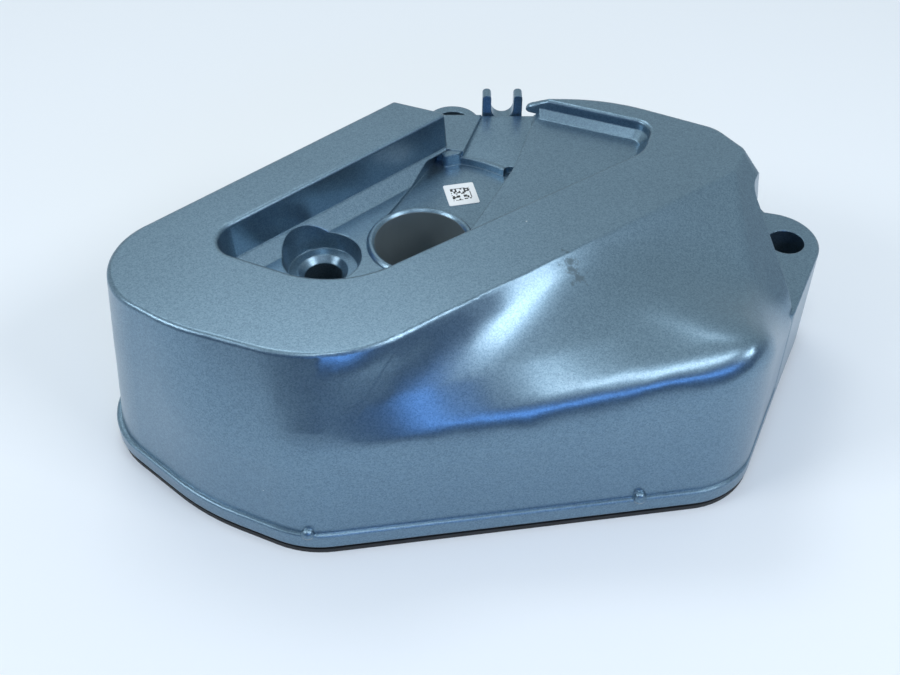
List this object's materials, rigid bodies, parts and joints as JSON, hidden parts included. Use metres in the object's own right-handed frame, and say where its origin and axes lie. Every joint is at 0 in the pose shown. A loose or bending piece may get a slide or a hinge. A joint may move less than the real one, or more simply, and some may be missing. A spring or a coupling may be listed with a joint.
{
  "type": "valve cover",
  "caption": "Cast valve cover with a flat top, a coil pocket with plug well, bolt ears, a cable fork and a rubber perimeter gasket.",
  "frame": {"origin": "centre of the plug well at the casting's machined sealing face", "axes": "+Z along the plug well, away from the engine; +X towards the bolt ear at the right end; +Y towards the cable fork at the back"},
  "size_m": [0.2238, 0.1713, 0.067],
  "materials": {
    "paint": "semi-gloss metallic paint",
    "gasket_rubber": "matt moulded rubber",
    "seal_rubber": "matt moulded rubber",
    "label_film": "printed white film"
  },
  "bodies": {
    "root": {"cover_casting": "paint", "perimeter_gasket": "gasket_rubber", "plug_well_seal": "seal_rubber", "code_label": "label_film"}
  },
  "joints": []
}
